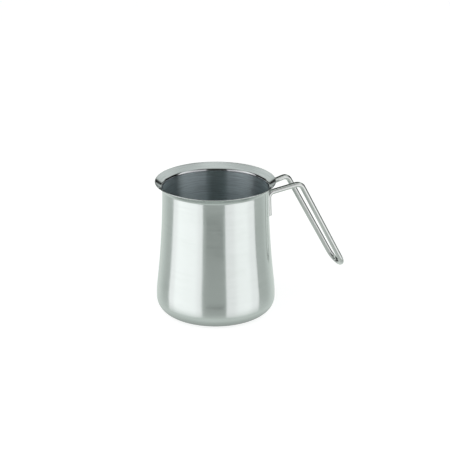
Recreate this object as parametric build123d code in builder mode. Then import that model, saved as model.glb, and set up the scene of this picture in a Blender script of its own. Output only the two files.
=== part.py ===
"""Candle melting pot: a drawn steel pot with a flared rim and a bent wire handle.

Millimetres. The origin is the centre of the ring that the pot stands on, +Z is up
and the handle points along +X.
"""

from build123d import *
from math import acos, atan2, cos, hypot, radians, sin
import os

# Pot: sheet and overall size
wall = 0.8
pot_height = 136.5
rim_radius = 60.0

# Pot: outer outline, from the base up
belly_radius = 60.0
corner_radius = 14.5
belly_bend = 150.0
side_lean = 6.6
side_bend = 960.0
neck_lean = 1.5
neck_bend = 200.0
flare_slope = 38.0
flare_bend = 3.5
rim_rounding = 0.3

# Pot: the base is set in, so that only a ring touches the table
recess_height = 1.0
recess_edge = 35.0
ring_inner = 39.0
recess_bend = 6.0

# Handle: the wire's centreline, symmetric about the XZ plane
wire_radius = 2.75
wire_end_rounding = 0.4
stub_azimuth = 10.2
stub_bottom = 93.5
elbow_height = 117.7
elbow_bend = 6.0
shoulder_reach = 89.2
shoulder_height = 123.8
shoulder_spread = 14.0
shoulder_bend = 8.0
leg_slope = 60.8
leg_length = 115.0
tip_bend = 11.4

# Welds: the wire is pressed a little into the neck, with a bead on each side of it
seat_height = 103.0
seat_depth = 0.3
bead_radius = 2.3
bead_end_rounding = 1.8
bead_bottom = 95.5
bead_top = 110.0


def flare_sizes(neck_radius):
    """The height where the neck starts to flare, and the length of the flare's cone."""
    slope = radians(flare_slope)
    turn = radians(90 - flare_slope)
    corner_excess = rim_rounding * (cos(slope) + sin(slope) - 1)
    edge_height = pot_height + corner_excess - wall * cos(slope)
    cone_run = rim_radius + corner_excess - neck_radius - flare_bend * (1 - cos(turn))
    length = cone_run / cos(slope)
    return edge_height - length * sin(slope) - flare_bend * sin(turn), length


def tip_taper():
    """The angle, in radians, that each leg turns in by to run straight into the tip bend."""
    straight = leg_length - tip_bend
    reach = hypot(shoulder_spread, straight)
    return acos(tip_bend / reach) - atan2(straight, shoulder_spread)


# Outer outline of the pot as radius and height, from the axis out to the rim's edge
with BuildLine() as outer_outline:
    base = FilletPolyline(
        (0, recess_height),
        (recess_edge, recess_height),
        (ring_inner, 0),
        (belly_radius - corner_radius, 0),
        radius=recess_bend,
    )
    corner = JernArc(base @ 1, (1, 0), corner_radius, 90)
    belly = JernArc(corner @ 1, corner % 1, belly_bend, side_lean)
    flank = JernArc(belly @ 1, belly % 1, side_bend, neck_lean - side_lean)
    neck_foot = JernArc(flank @ 1, flank % 1, neck_bend, -neck_lean)
    neck_radius = (neck_foot @ 1).X
    neck_top, cone_length = flare_sizes(neck_radius)
    neck = Line(neck_foot @ 1, (neck_radius, neck_top))
    flare = JernArc(neck @ 1, neck % 1, flare_bend, flare_slope - 90)
    cone = PolarLine(flare @ 1, cone_length, flare_slope)

# The pot: one sheet, offset inwards from the outer outline and spun round the axis
with BuildPart() as pot_shell:
    with BuildSketch(Plane.XZ) as wall_section:
        with BuildLine():
            add(outer_outline.line)
            offset(amount=wall, side=Side.LEFT)
        make_face()
        fillet(wall_section.vertices().sort_by(Axis.Y)[-2:], rim_rounding)
    revolve(axis=Axis.Z)

# The space inside the pot's outer surface, which the wire and the welds are cut to fit
with BuildPart() as pot_form:
    with BuildSketch(Plane.XZ):
        with BuildLine():
            add(outer_outline.line)
            rim_edge = outer_outline.line @ 1
            Polyline(rim_edge, (0, rim_edge.Y), (0, recess_height))
        make_face()
    revolve(axis=Axis.Z)

# The wire's seat: the point on the outline, at the middle of the weld, that it leans along
seat = flank.intersect(Line((0, seat_height), (belly_radius, seat_height)))[0]
seat_lean = flank.tangent_at(seat)


def beside_neck(height, distance):
    """A point at this height and this far out from the seat, in the left stub's own plane."""
    radius = seat.X + distance + (height - seat_height) * seat_lean.X / seat_lean.Y
    azimuth = radians(stub_azimuth)
    return Vector(radius * cos(azimuth), radius * sin(azimuth), height)


def leg_point(along, spread):
    """A point this far down the legs from the shoulders, and this far to the left."""
    slope = radians(leg_slope)
    reach = shoulder_reach + along * cos(slope)
    return Vector(reach, spread, shoulder_height - along * sin(slope))


def half_handle():
    """Corners of the wire's left half: stub end, elbow, shoulder and start of the tip bend."""
    distance = wire_radius - seat_depth
    taper = tip_taper()
    along_leg = leg_length - tip_bend * (1 - sin(taper))
    return (
        beside_neck(stub_bottom, distance),
        beside_neck(elbow_height, distance),
        Vector(shoulder_reach, shoulder_spread, shoulder_height),
        leg_point(along_leg, tip_bend * cos(taper)),
    )


# The handle: one round wire, bent to a loop, with its two ends lying on the neck
with BuildPart() as wire_handle:
    with BuildLine():
        left_half = FilletPolyline(*half_handle(), radius=(elbow_bend, shoulder_bend))
        right_half = mirror(left_half, about=Plane.XZ)
        ThreePointArc(left_half @ 1, leg_point(leg_length, 0), right_half @ 1)
    with BuildSketch(Plane(origin=left_half @ 0, z_dir=left_half % 0)):
        Circle(wire_radius)
    sweep()
    fillet(wire_handle.faces().filter_by(GeomType.PLANE).edges(), wire_end_rounding)
    add(pot_form.part, mode=Mode.SUBTRACT)

# The two beads beside the left stub: a rounded rod along the seat, less the neck and the wire
with BuildPart() as handle_weld_left:
    seat_run = Line(beside_neck(bead_bottom, 0), beside_neck(bead_top, 0))
    out_from_neck = Vector(1, 0, 0).rotate(Axis.Z, stub_azimuth)
    with BuildSketch(Plane(origin=seat_run @ 0, x_dir=out_from_neck, z_dir=seat_run % 0)):
        Circle(bead_radius)
    extrude(amount=seat_run.length)
    fillet(handle_weld_left.edges().filter_by(GeomType.CIRCLE), bead_end_rounding)
    add(pot_form.part, mode=Mode.SUBTRACT)
    add(wire_handle.part, mode=Mode.SUBTRACT)

with BuildPart() as handle_weld_right:
    mirror(handle_weld_left.part, about=Plane.XZ)

pieces = {
    "pot_shell": pot_shell,
    "wire_handle": wire_handle,
    "handle_weld_left": handle_weld_left,
    "handle_weld_right": handle_weld_right,
}
os.makedirs("parts", exist_ok=True)
for name, piece in pieces.items():
    piece.part.label = name
    export_step(piece.part, f"parts/{name}.step")
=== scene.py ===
"""The candle melting pot's looks: polished and brushed steel in a soft white studio."""

from math import atan, cos, degrees, hypot, pi, radians, sin, tan

import bpy
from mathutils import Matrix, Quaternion, Vector


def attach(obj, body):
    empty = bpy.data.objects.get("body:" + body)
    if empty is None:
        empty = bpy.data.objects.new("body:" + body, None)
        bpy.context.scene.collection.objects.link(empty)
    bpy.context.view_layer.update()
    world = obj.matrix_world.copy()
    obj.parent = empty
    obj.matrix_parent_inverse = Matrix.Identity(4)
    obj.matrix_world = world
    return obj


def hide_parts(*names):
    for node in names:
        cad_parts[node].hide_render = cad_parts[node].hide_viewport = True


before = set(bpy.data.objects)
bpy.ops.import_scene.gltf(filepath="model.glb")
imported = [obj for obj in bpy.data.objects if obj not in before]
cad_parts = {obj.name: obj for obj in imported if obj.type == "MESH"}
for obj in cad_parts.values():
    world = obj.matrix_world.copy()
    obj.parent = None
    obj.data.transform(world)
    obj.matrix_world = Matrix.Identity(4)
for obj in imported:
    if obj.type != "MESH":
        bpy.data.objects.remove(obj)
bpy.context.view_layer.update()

# Camera: where it stands round the pot, and the framing
CAMERA_AZIMUTH = radians(-26.6)
CAMERA_ELEVATION = radians(21.28)
CAMERA_ROLL = radians(-0.19)
CAMERA_DISTANCE = 1.45
CAMERA_AIM = Vector((0, 0, 0.068))
CAMERA_LENS = 115.3
CAMERA_SHIFT = (0.0208, 0.0441)
CAMERA_CLIP = (0.05, 50)

# The pot's sheet and outline, in millimetres and degrees, as the part is built
WALL = 0.8
POT_HEIGHT = 136.5
RIM_RADIUS = 60.0
BELLY_RADIUS = 60.0
CORNER_RADIUS = 14.5
BELLY_BEND = 150.0
SIDE_LEAN = 6.6
SIDE_BEND = 960.0
NECK_LEAN = 1.5
NECK_BEND = 200.0
FLARE_SLOPE = 38.0
FLARE_BEND = 3.5
RIM_ROUNDING = 0.3
RECESS_HEIGHT = 1.0
RECESS_EDGE = 35.0
RING_INNER = 39.0
RECESS_BEND = 6.0

# How finely the pot's skin is divided: round it, along its bends, and anywhere along it. A
# point of the outline nearer to the axis than ON_AXIS is a single vertex, not a ring.
RING_STEPS = 360
ARC_STEP = radians(4)
LONGEST_STEP = 1.5
ON_AXIS = 0.001

# Tints of the room and the panels, which are both all but white
ROOM_TINT = (0.955, 1.03, 0.985)
PANEL_TINT = (1.0, 0.98, 1.003)

# Brightness of the room against the angle above the floor, in degrees, on the camera's side
# and behind the pot, and the angles round the room between which one turns into the other
FRONT_LEVELS = (
    (-90, 0.74), (-55, 0.72), (-28, 0.53), (-0.5, 0.53), (0.5, 0.055), (50, 0.055),
    (60, 0.8), (74, 1.05), (88, 1.05))
BACK_LEVELS = (
    (-90, 0.74), (-50, 0.68), (-9, 0.60), (-6, 0.08), (-2, 0.08), (0, 0.3), (3, 0.3),
    (5, 0.02), (11, 0.02), (14, 0.62), (20, 0.70), (47, 0.85), (80, 1.05))
BACK_STARTS, BACK_FULL = 35, 95

# The far side of the room: the angles round it between which it brightens, and by how many times
FAR_STARTS, FAR_FULL, FAR_GAIN = 112, 145, 1.3

# A pale arch rises from the floor behind the pot and passes over it, and the room is dark on
# both sides of it. It leans: a degree further round the room it is ARCH_FALL degrees lower.
# Its angles are where it starts, is full, begins to fade and ends.
ARCH_FALL = 0.8
ARCH = (119, 127, 148, 156)
ARCH_SIDES = (86, 94)
ARCH_FOOT = (3, 8)
ARCH_DEPTH = 0.95

# Darker patches: where each starts, is full, begins to fade and ends, round the room and
# then up it, in degrees, and how much it takes away
BELOW_FLOOR = (-60, -50, -1, 0)
JUST_ABOVE_FLOOR = (3, 6, 20, 26)
DIMMED = (
    ((-21, -18, 14, 17), (-16.9, -16.2, -15.4, -14.8), 0.9),
    ((90, 96, 138, 146), JUST_ABOVE_FLOOR, 0.92),
    ((-146, -138, -96, -90), JUST_ABOVE_FLOOR, 0.92),
    ((20, 23, 33, 48), BELOW_FLOOR, 0.3),
    ((66, 80, 92, 96), BELOW_FLOOR, 0.27),
    ((-42, -34, -29, -27), BELOW_FLOOR, 0.25),
    ((-104, -101, -92, -84), BELOW_FLOOR, 0.3))

# Softboxes: name, angle round the room and half the angle they fill, in degrees, and radiance.
# The rest, in metres: how far from the axis they stand, and how high they reach
SOFTBOXES = (("softbox_right", 55, 35, 0.82), ("softbox_left", -63.7, 37.2, 0.90))
SOFTBOX_DISTANCE = 1.2
SOFTBOX_BOTTOM, SOFTBOX_TOP = -0.84, 1.2

# The floor, and the glowing disc just under it, which paints the floor's reflection low on the belly: radii
# in metres between which the disc brightens out of its painted shade round the pot's foot, and between which
# it fades out
FLOOR_SIZE = 8
FLOOR_DROP = 0.0003
FLOOR_GREY = 0.5
FLOOR_GLOW = 0.8
DISC_RADIUS = 0.15
DISC_DROP = 0.0008
DISC_EDGES = 96
DISC_SHADE_RADII = (0.048, 0.070)
DISC_SHADED_GLOW = (0.42, 0.77)
DISC_FADES = (0.068, 0.116)

# The circular grain stops following the radius where its square, in metres, is less than this
GRAIN_CENTRE = 1e-7

# The lightest and darkest colour of each finish
OUTSIDE_TONES = ((0.612, 0.639, 0.629), (0.577, 0.605, 0.592))
INSIDE_TONES = ((0.65, 0.73, 0.765), (0.45, 0.51, 0.535))
FLARE_TONES = ((0.555, 0.565, 0.575), (0.455, 0.465, 0.475))
RIM_TONES = ((0.66, 0.68, 0.67), (0.60, 0.63, 0.62))
BASE_TONES = ((0.60, 0.63, 0.615), (0.50, 0.525, 0.51))
WIRE_TONES = ((0.60, 0.61, 0.60), (0.53, 0.54, 0.53))
WELD_TONES = ((0.60, 0.59, 0.57), (0.44, 0.43, 0.41))


def direction(azimuth, elevation):
    """The unit vector at this angle to the right of -Y, seen from above, and above the floor."""
    flat = cos(elevation)
    return Vector((sin(azimuth) * flat, -cos(azimuth) * flat, sin(elevation)))


def add_camera():
    data = bpy.data.cameras.new("camera")
    data.lens = CAMERA_LENS
    data.shift_x, data.shift_y = CAMERA_SHIFT
    data.clip_start, data.clip_end = CAMERA_CLIP
    camera = bpy.data.objects.new("camera", data)
    bpy.context.scene.collection.objects.link(camera)
    back = direction(CAMERA_AZIMUTH, CAMERA_ELEVATION)
    camera.location = CAMERA_AIM + back * CAMERA_DISTANCE
    turned = (-back).to_track_quat("-Z", "Y").to_matrix()
    turned.rotate(Quaternion(back, CAMERA_ROLL))
    camera.rotation_euler = turned.to_euler()
    bpy.context.scene.camera = camera


class Nodes:
    """A node tree under construction: add() makes a node, and the other calls are short forms."""

    def __init__(self, tree):
        self.tree = tree
        tree.nodes.clear()

    def add(self, kind, inputs=None, **settings):
        node = self.tree.nodes.new(kind)
        for name, value in settings.items():
            setattr(node, name, value)
        for name, value in (inputs or {}).items():
            self.set(node.inputs[name], value)
        return node

    def set(self, socket, value):
        if isinstance(value, bpy.types.NodeSocket):
            self.tree.links.new(value, socket)
        else:
            socket.default_value = value

    def end(self, kind, shader):
        """Makes this shader the tree's result."""
        self.set(self.add(kind).inputs["Surface"], shader)

    def math(self, operation, *values):
        node = self.add("ShaderNodeMath", operation=operation)
        for socket, value in zip(node.inputs, values):
            self.set(socket, value)
        return node.outputs[0]

    def ramp(self, value, low, high, to_low=0.0, to_high=1.0):
        """Runs smoothly from to_low to to_high while the value runs from low to high."""
        node = self.add("ShaderNodeMapRange", interpolation_type="SMOOTHSTEP")
        names = ("Value", "From Min", "From Max", "To Min", "To Max")
        for name, number in zip(names, (value, low, high, to_low, to_high)):
            self.set(node.inputs[name], number)
        return node.outputs["Result"]

    def angle_ramp(self, angle, low, high, to_low=0.0, to_high=1.0):
        """A ramp along an angle, between two that are given in degrees."""
        return self.ramp(angle, radians(low), radians(high), to_low, to_high)

    def window(self, angle, start, full, until, end):
        """1 where this angle is between full and until, in degrees, and 0 before start and after end."""
        return self.math("MULTIPLY", self.angle_ramp(angle, start, full),
                         self.angle_ramp(angle, until, end, 1.0, 0.0))

    def levels(self, angle, stops):
        """A brightness that follows (degrees, level) stops along this angle."""
        place = self.math("DIVIDE", self.math("ADD", angle, pi / 2), pi)
        ramp = self.add("ShaderNodeValToRGB", {"Fac": place})
        elements = ramp.color_ramp.elements
        for stop, level in stops[1:]:
            elements.new((stop + 90) / 180).color = (level, level, level, 1)
        for element, (_, level) in zip((elements[0], elements[-1]), (stops[0], stops[-1])):
            element.color = (level, level, level, 1)
        return ramp.outputs["Color"]

    def dimmed(self, level, amount, depth):
        """The level with up to this depth of it taken away, where the amount is 1."""
        taken = self.math("MULTIPLY", amount, depth)
        return self.math("MULTIPLY", level, self.math("SUBTRACT", 1.0, taken))

    def blend(self, factor, a, b):
        node = self.add("ShaderNodeMix", {"Factor": factor, "A": a, "B": b}, data_type="FLOAT")
        return node.outputs["Result"]

    def blend_colour(self, factor, a, b):
        node = self.add("ShaderNodeMix", {"Factor": factor}, data_type="RGBA")
        colours = [socket for socket in node.inputs if socket.type == "RGBA"]
        for socket, colour in zip(colours, (a, b)):
            self.set(socket, (*colour, 1))
        return next(socket for socket in node.outputs if socket.type == "RGBA")

    def blend_shaders(self, factor, a, b):
        node = self.add("ShaderNodeMixShader", {"Fac": factor})
        self.set(node.inputs[1], a)
        self.set(node.inputs[2], b)
        return node.outputs[0]


def make_world():
    """The room: dark above the floor on the camera's side, pale overhead, and behind the pot
    dark but for the arch. Angles round it are counted from the camera."""
    world = bpy.data.worlds.new("studio")
    bpy.context.scene.world = world
    world.use_nodes = True
    n = Nodes(world.node_tree)
    coord = n.add("ShaderNodeTexCoord")
    turned = n.add("ShaderNodeVectorRotate", {
        "Vector": coord.outputs["Generated"], "Angle": -CAMERA_AZIMUTH}, rotation_type="Z_AXIS")
    xyz = n.add("ShaderNodeSeparateXYZ", {"Vector": turned.outputs[0]})
    azimuth = n.math("ARCTAN2", xyz.outputs["X"], n.math("MULTIPLY", xyz.outputs["Y"], -1.0))
    aside = n.math("ABSOLUTE", azimuth)
    rise = n.math("ARCSINE", xyz.outputs["Z"])
    level = n.blend(n.angle_ramp(aside, BACK_STARTS, BACK_FULL),
                    n.levels(rise, FRONT_LEVELS), n.levels(rise, BACK_LEVELS))
    level = n.math("MULTIPLY", level, n.angle_ramp(aside, FAR_STARTS, FAR_FULL, 1.0, FAR_GAIN))
    for azimuths, rises, depth in DIMMED:
        patch = n.math("MULTIPLY", n.window(azimuth, *azimuths), n.window(rise, *rises))
        level = n.dimmed(level, patch, depth)
    place = n.math("ADD", rise, n.math("MULTIPLY", aside, ARCH_FALL))
    reach = n.math("MULTIPLY", n.angle_ramp(aside, *ARCH_SIDES), n.angle_ramp(rise, *ARCH_FOOT))
    off_arch = n.math("MULTIPLY", reach, n.math("SUBTRACT", 1.0, n.window(place, *ARCH)))
    level = n.dimmed(level, off_arch, ARCH_DEPTH)
    background = n.add("ShaderNodeBackground", {"Color": (*ROOM_TINT, 1), "Strength": level})
    n.end("ShaderNodeOutputWorld", background.outputs[0])


def add_softbox(name, azimuth, half_angle, radiance):
    """A tall upright panel facing the pot, seen only in reflections and by its light."""
    data = bpy.data.lights.new(name, "AREA")
    data.shape = "RECTANGLE"
    data.size = 2 * SOFTBOX_DISTANCE * tan(half_angle)
    data.size_y = SOFTBOX_TOP - SOFTBOX_BOTTOM
    data.energy = radiance * pi * data.size * data.size_y
    data.color = PANEL_TINT
    light = bpy.data.objects.new(name, data)
    bpy.context.scene.collection.objects.link(light)
    out = direction(CAMERA_AZIMUTH + azimuth, 0)
    light.location = out * SOFTBOX_DISTANCE + Vector((0, 0, (SOFTBOX_BOTTOM + SOFTBOX_TOP) / 2))
    light.rotation_euler = out.to_track_quat("Z", "Y").to_euler()
    light.visible_camera = False


def new_material(name):
    material = bpy.data.materials.new(name)
    material.use_nodes = True
    return material, Nodes(material.node_tree)


def add_floor():
    """A white floor that is clear from below and doesn't show in the steel."""
    bpy.ops.mesh.primitive_plane_add(size=FLOOR_SIZE)
    floor = bpy.context.object
    floor.name = "floor"
    floor.location.z = -FLOOR_DROP
    floor.visible_glossy = False
    floor.visible_shadow = False
    material, n = new_material("floor_white")
    diffuse = n.add("ShaderNodeBsdfDiffuse", {"Color": (FLOOR_GREY, FLOOR_GREY, FLOOR_GREY, 1)})
    glow = n.add("ShaderNodeEmission", {"Color": (1, 1, 1, 1), "Strength": FLOOR_GLOW})
    both = n.add("ShaderNodeAddShader")
    n.set(both.inputs[0], diffuse.outputs[0])
    n.set(both.inputs[1], glow.outputs[0])
    clear = n.add("ShaderNodeBsdfTransparent")
    below = n.add("ShaderNodeNewGeometry").outputs["Backfacing"]
    n.end("ShaderNodeOutputMaterial", n.blend_shaders(below, both.outputs[0], clear.outputs[0]))
    floor.data.materials.append(material)


def add_floor_reflection_disc():
    """A glowing disc under the floor, seen only in the steel: a painted reflection of the floor low on the
    belly, dimmer near the pot as painted shade round its foot.
    """
    bpy.ops.mesh.primitive_circle_add(vertices=DISC_EDGES, radius=DISC_RADIUS, fill_type="NGON")
    disc = bpy.context.object
    disc.name = "floor_reflection_disc"
    disc.location.z = -DISC_DROP
    disc.visible_camera = False
    disc.visible_diffuse = False
    material, n = new_material("floor_reflection_glow")
    coord = n.add("ShaderNodeTexCoord")
    radius = n.add("ShaderNodeVectorMath", {0: coord.outputs["Object"]}, operation="LENGTH").outputs["Value"]
    # Painted shade: the glow is dimmer close to the pot, standing in for the shadow the pot casts on the
    # floor round its foot
    glow = n.add("ShaderNodeEmission", {
        "Color": (*ROOM_TINT, 1), "Strength": n.ramp(radius, *DISC_SHADE_RADII, *DISC_SHADED_GLOW)})
    clear = n.add("ShaderNodeBsdfTransparent")
    faded = n.blend_shaders(n.ramp(radius, *DISC_FADES), glow.outputs[0], clear.outputs[0])
    n.end("ShaderNodeOutputMaterial", faded)
    disc.data.materials.append(material)


class Outline:
    """Draws the pot's outer outline from the axis: points with radius, height and heading."""

    def __init__(self, radius, height):
        self.radius, self.height, self.heading = radius, height, 0.0
        self.points = []
        self.mark()

    def mark(self):
        self.points.append((self.radius, self.height, self.heading))

    def straight(self, length):
        steps = max(1, round(length / LONGEST_STEP))
        for _ in range(steps):
            self.radius += length / steps * cos(self.heading)
            self.height += length / steps * sin(self.heading)
            self.mark()

    def arc(self, radius, turn):
        """Turns by this angle in degrees, to the left when it is positive."""
        turn = radians(turn)
        steps = max(2, round(abs(turn) / ARC_STEP), round(radius * abs(turn) / LONGEST_STEP))
        chord = 2 * radius * sin(abs(turn) / steps / 2)
        for _ in range(steps):
            self.heading += turn / steps / 2
            self.radius += chord * cos(self.heading)
            self.height += chord * sin(self.heading)
            self.heading += turn / steps / 2
            self.mark()


def flare_sizes(neck_radius):
    """The height where the neck starts to flare, and the length of the flare's cone."""
    slope = radians(FLARE_SLOPE)
    turn = radians(90 - FLARE_SLOPE)
    corner_excess = RIM_ROUNDING * (cos(slope) + sin(slope) - 1)
    edge_height = POT_HEIGHT + corner_excess - WALL * cos(slope)
    cone_run = RIM_RADIUS + corner_excess - neck_radius - FLARE_BEND * (1 - cos(turn))
    length = cone_run / cos(slope)
    return edge_height - length * sin(slope) - FLARE_BEND * sin(turn), length


def draw_base(pen):
    """The set-in centre of the underside, the step down from it, and the standing ring."""
    step_slope = atan(RECESS_HEIGHT / (RING_INNER - RECESS_EDGE))
    trim = RECESS_BEND * tan(step_slope / 2)
    pen.straight(RECESS_EDGE - trim)
    pen.arc(RECESS_BEND, -degrees(step_slope))
    pen.straight(hypot(RING_INNER - RECESS_EDGE, RECESS_HEIGHT) - 2 * trim)
    pen.arc(RECESS_BEND, degrees(step_slope))
    pen.straight(BELLY_RADIUS - CORNER_RADIUS - RING_INNER - trim)


def draw_side(pen):
    """The corner, belly, taper and neck, up to where the flare starts. Returns the cone's length."""
    pen.arc(CORNER_RADIUS, 90)
    pen.arc(BELLY_BEND, SIDE_LEAN)
    pen.arc(SIDE_BEND, NECK_LEAN - SIDE_LEAN)
    pen.arc(NECK_BEND, -NECK_LEAN)
    neck_top, cone_length = flare_sizes(pen.radius)
    pen.straight(neck_top - pen.height)
    return cone_length


def draw_rim(pen):
    """The cut edge of the sheet, rounded over on both sides."""
    pen.arc(RIM_ROUNDING, 90)
    pen.straight(WALL - 2 * RIM_ROUNDING)
    pen.arc(RIM_ROUNDING, 90)


def pot_outline():
    """The outline as a list of (radius, height, part of the skin), from under the base to inside."""
    pen = Outline(0, RECESS_HEIGHT)
    draw_base(pen)
    base_end = len(pen.points)
    cone_length = draw_side(pen)
    neck_end = len(pen.points)
    pen.arc(FLARE_BEND, FLARE_SLOPE - 90)
    pen.straight(cone_length - RIM_ROUNDING)
    outside_end = len(pen.points)
    draw_rim(pen)
    outline = []
    for index, (radius, height, _) in enumerate(pen.points[:-1]):
        part = "base" if index < base_end - 1 else "outside" if index < outside_end - 1 else "rim"
        outline.append((radius, height, part))
    for index in range(outside_end - 1, -1, -1):
        radius, height, heading = pen.points[index]
        part = "flare" if index > neck_end else "inside"
        outline.append((radius - WALL * sin(heading), height + WALL * cos(heading), part))
    return outline


def spin(outline):
    """The vertices of the outline spun round the axis, in metres, and each point's ring of them."""
    vertices, rings = [], []
    for radius, height, _ in outline:
        first = len(vertices)
        if radius < ON_AXIS:
            vertices.append((0, 0, height / 1000))
            rings.append([first] * RING_STEPS)
            continue
        for step in range(RING_STEPS):
            angle = 2 * pi * step / RING_STEPS
            vertices.append((radius * cos(angle) / 1000, radius * sin(angle) / 1000, height / 1000))
        rings.append(list(range(first, first + RING_STEPS)))
    return vertices, rings


def add_pot(materials):
    """The pot's sheet as one closed skin, with a material for each part of it."""
    outline = pot_outline()
    vertices, rings = spin(outline)
    faces, slots = [], []
    names = list(materials)
    for (_, _, part), ring, following in zip(outline, rings, rings[1:]):
        for step in range(RING_STEPS):
            after = (step + 1) % RING_STEPS
            corners = (ring[step], ring[after], following[after], following[step])
            faces.append(tuple(dict.fromkeys(corners)))
            slots.append(names.index(part))
    mesh = bpy.data.meshes.new("pot_skin")
    mesh.from_pydata(vertices, [], faces)
    for name in names:
        mesh.materials.append(materials[name])
    mesh.polygons.foreach_set("material_index", slots)
    mesh.shade_smooth()
    mesh.update()
    pot = bpy.data.objects.new("pot_skin", mesh)
    bpy.context.scene.collection.objects.link(pot)
    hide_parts("pot_shell")
    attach(pot, "root")


def circular_grain(n, around, across):
    """Noise drawn out round the pot's axis: slow round it, quick along the pot's outline."""
    coord = n.add("ShaderNodeTexCoord")
    xyz = n.add("ShaderNodeSeparateXYZ", {"Vector": coord.outputs["Object"]})
    x, y, z = (xyz.outputs[name] for name in "XYZ")
    square = n.math("ADD", n.math("MULTIPLY", x, x), n.math("MULTIPLY", y, y))
    radius = n.math("SQRT", n.math("MAXIMUM", square, GRAIN_CENTRE))
    turn = n.math("DIVIDE", around, radius)
    place = n.add("ShaderNodeCombineXYZ", {
        "X": n.math("MULTIPLY", x, turn), "Y": n.math("MULTIPLY", y, turn),
        "Z": n.math("MULTIPLY", n.math("ADD", z, radius), across)})
    noise = n.add("ShaderNodeTexNoise", {
        "Vector": place.outputs[0], "Scale": 1.0, "Detail": 4.0, "Roughness": 0.6})
    return noise.outputs["Fac"]


def mottle(n, scale, detail=3.0):
    """Even noise at this many lumps to a metre, for smudges, ripples and fine scuffs."""
    coord = n.add("ShaderNodeTexCoord")
    noise = n.add("ShaderNodeTexNoise", {
        "Vector": coord.outputs["Object"], "Scale": scale, "Detail": detail, "Roughness": 0.55})
    return noise.outputs["Fac"]


def metal(n, tones, lightness, roughness, bump, anisotropic=0.0):
    """Steel whose colour runs from its darkest to its lightest tone, on a bumped and grained surface."""
    light, dark = tones
    tangent = n.add("ShaderNodeTangent", direction_type="RADIAL", axis="Z")
    bsdf = n.add("ShaderNodeBsdfPrincipled", {
        "Base Color": n.blend_colour(lightness, dark, light), "Metallic": 1.0, "Roughness": roughness,
        "Anisotropic": anisotropic, "Anisotropic Rotation": 0.25,
        "Tangent": tangent.outputs[0], "Normal": bump})
    n.end("ShaderNodeOutputMaterial", bsdf.outputs[0])


def bumped(n, height, distance, under=None):
    """The surface's normals with this height added, over a coarser bump if there is one."""
    node = n.add("ShaderNodeBump", {"Height": height, "Distance": distance, "Strength": 1.0})
    if under:
        n.set(node.inputs["Normal"], under)
    return node.outputs["Normal"]


def polished_outside():
    """Mirror-like sheet with faint spinning lines, a few smudges and a slight waviness."""
    material, n = new_material("steel_polished")
    lines = circular_grain(n, around=1.5, across=700)
    smudge = mottle(n, scale=38)
    haze = n.math("ADD", n.math("MULTIPLY", lines, 0.5), n.math("MULTIPLY", smudge, 0.5))
    roughness = n.math("ADD", n.ramp(smudge, 0.35, 0.7, to_low=0.14, to_high=0.18),
                       n.ramp(lines, 0.3, 0.7, to_low=-0.01, to_high=0.015))
    waves = bumped(n, mottle(n, scale=22, detail=1.0), distance=0.0002)
    metal(n, OUTSIDE_TONES, n.ramp(haze, 0.3, 0.62), roughness,
          bumped(n, lines, distance=0.000003, under=waves), anisotropic=0.3)
    return material


def brushed_inside():
    """Fine circular brushing, which draws every reflection out up and down the wall."""
    material, n = new_material("steel_brushed")
    lines = circular_grain(n, around=2.2, across=1400)
    patches = mottle(n, scale=30)
    roughness = n.math("ADD", n.ramp(lines, 0.3, 0.7, to_low=0.37, to_high=0.43),
                       n.ramp(patches, 0.3, 0.7, to_low=-0.02, to_high=0.02))
    metal(n, INSIDE_TONES, n.ramp(lines, 0.3, 0.7), roughness,
          bumped(n, lines, distance=0.00001), anisotropic=1.0)
    return material


def lightly_brushed_flare():
    """The flare's upper side: polished over the brushing, with fine rings left in it."""
    material, n = new_material("steel_flare")
    lines = circular_grain(n, around=2.2, across=1800)
    roughness = n.ramp(lines, 0.3, 0.7, to_low=0.09, to_high=0.13)
    metal(n, FLARE_TONES, n.ramp(lines, 0.3, 0.7), roughness, bumped(n, lines, distance=0.000004))
    return material


def trimmed_rim():
    """The sheet's cut edge, rounded over and polished bright."""
    material, n = new_material("steel_rim_edge")
    lines = circular_grain(n, around=6, across=2500)
    roughness = n.ramp(lines, 0.3, 0.7, to_low=0.16, to_high=0.24)
    metal(n, RIM_TONES, lines, roughness, bumped(n, lines, distance=0.000006))
    return material


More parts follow.
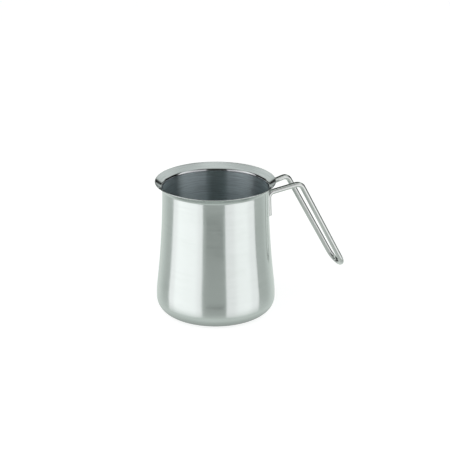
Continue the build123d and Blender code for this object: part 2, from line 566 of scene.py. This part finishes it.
def scuffed_base():
    """The underside, duller than the wall and scuffed where it stands."""
    material, n = new_material("steel_base")
    lines = circular_grain(n, around=3, across=1600)
    scuffs = mottle(n, scale=160, detail=6.0)
    roughness = n.math("ADD", n.ramp(scuffs, 0.4, 0.65, to_low=0.24, to_high=0.40),
                       n.ramp(lines, 0.3, 0.7, to_low=-0.03, to_high=0.03))
    metal(n, BASE_TONES, scuffs, roughness,
          bumped(n, n.math("ADD", lines, scuffs), distance=0.00002), anisotropic=0.4)
    return material


def polished_wire():
    """Drawn wire, polished, with tiny pits and a slight waviness left by the bending."""
    material, n = new_material("steel_wire")
    pits = mottle(n, scale=900, detail=4.0)
    wave = mottle(n, scale=60)
    roughness = n.math("ADD", n.ramp(wave, 0.3, 0.7, to_low=0.12, to_high=0.17),
                       n.ramp(pits, 0.35, 0.65, to_low=-0.01, to_high=0.02))
    height = n.math("ADD", n.math("MULTIPLY", wave, 4.0), pits)
    metal(n, WIRE_TONES, pits, roughness, bumped(n, height, distance=0.000006))
    return material


def weld_metal():
    """Weld beads: rippled across, duller than the sheet and faintly straw-coloured."""
    material, n = new_material("steel_weld")
    coord = n.add("ShaderNodeTexCoord")
    ripple = n.add("ShaderNodeTexWave", {
        "Vector": coord.outputs["Object"], "Scale": 190.0, "Distortion": 2.5, "Detail": 2.0},
        bands_direction="Z")
    spots = mottle(n, scale=700, detail=4.0)
    height = n.math("ADD", ripple.outputs["Fac"], n.math("MULTIPLY", spots, 0.5))
    roughness = n.ramp(spots, 0.3, 0.7, to_low=0.26, to_high=0.42)
    metal(n, WELD_TONES, spots, roughness, bumped(n, height, distance=0.00008))
    return material


def dress(node_name, material):
    """Gives a CAD node its one material."""
    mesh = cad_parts[node_name].data
    mesh.materials.clear()
    mesh.materials.append(material)


add_camera()
make_world()
for name, azimuth, half_angle, radiance in SOFTBOXES:
    add_softbox(name, radians(azimuth), radians(half_angle), radiance)
add_floor()
add_floor_reflection_disc()
add_pot({
    "base": scuffed_base(), "outside": polished_outside(), "rim": trimmed_rim(),
    "flare": lightly_brushed_flare(), "inside": brushed_inside()})
dress("wire_handle", polished_wire())
weld = weld_metal()
for side in ("left", "right"):
    dress(f"handle_weld_{side}", weld)
bpy.context.scene.view_settings.view_transform = "Standard"
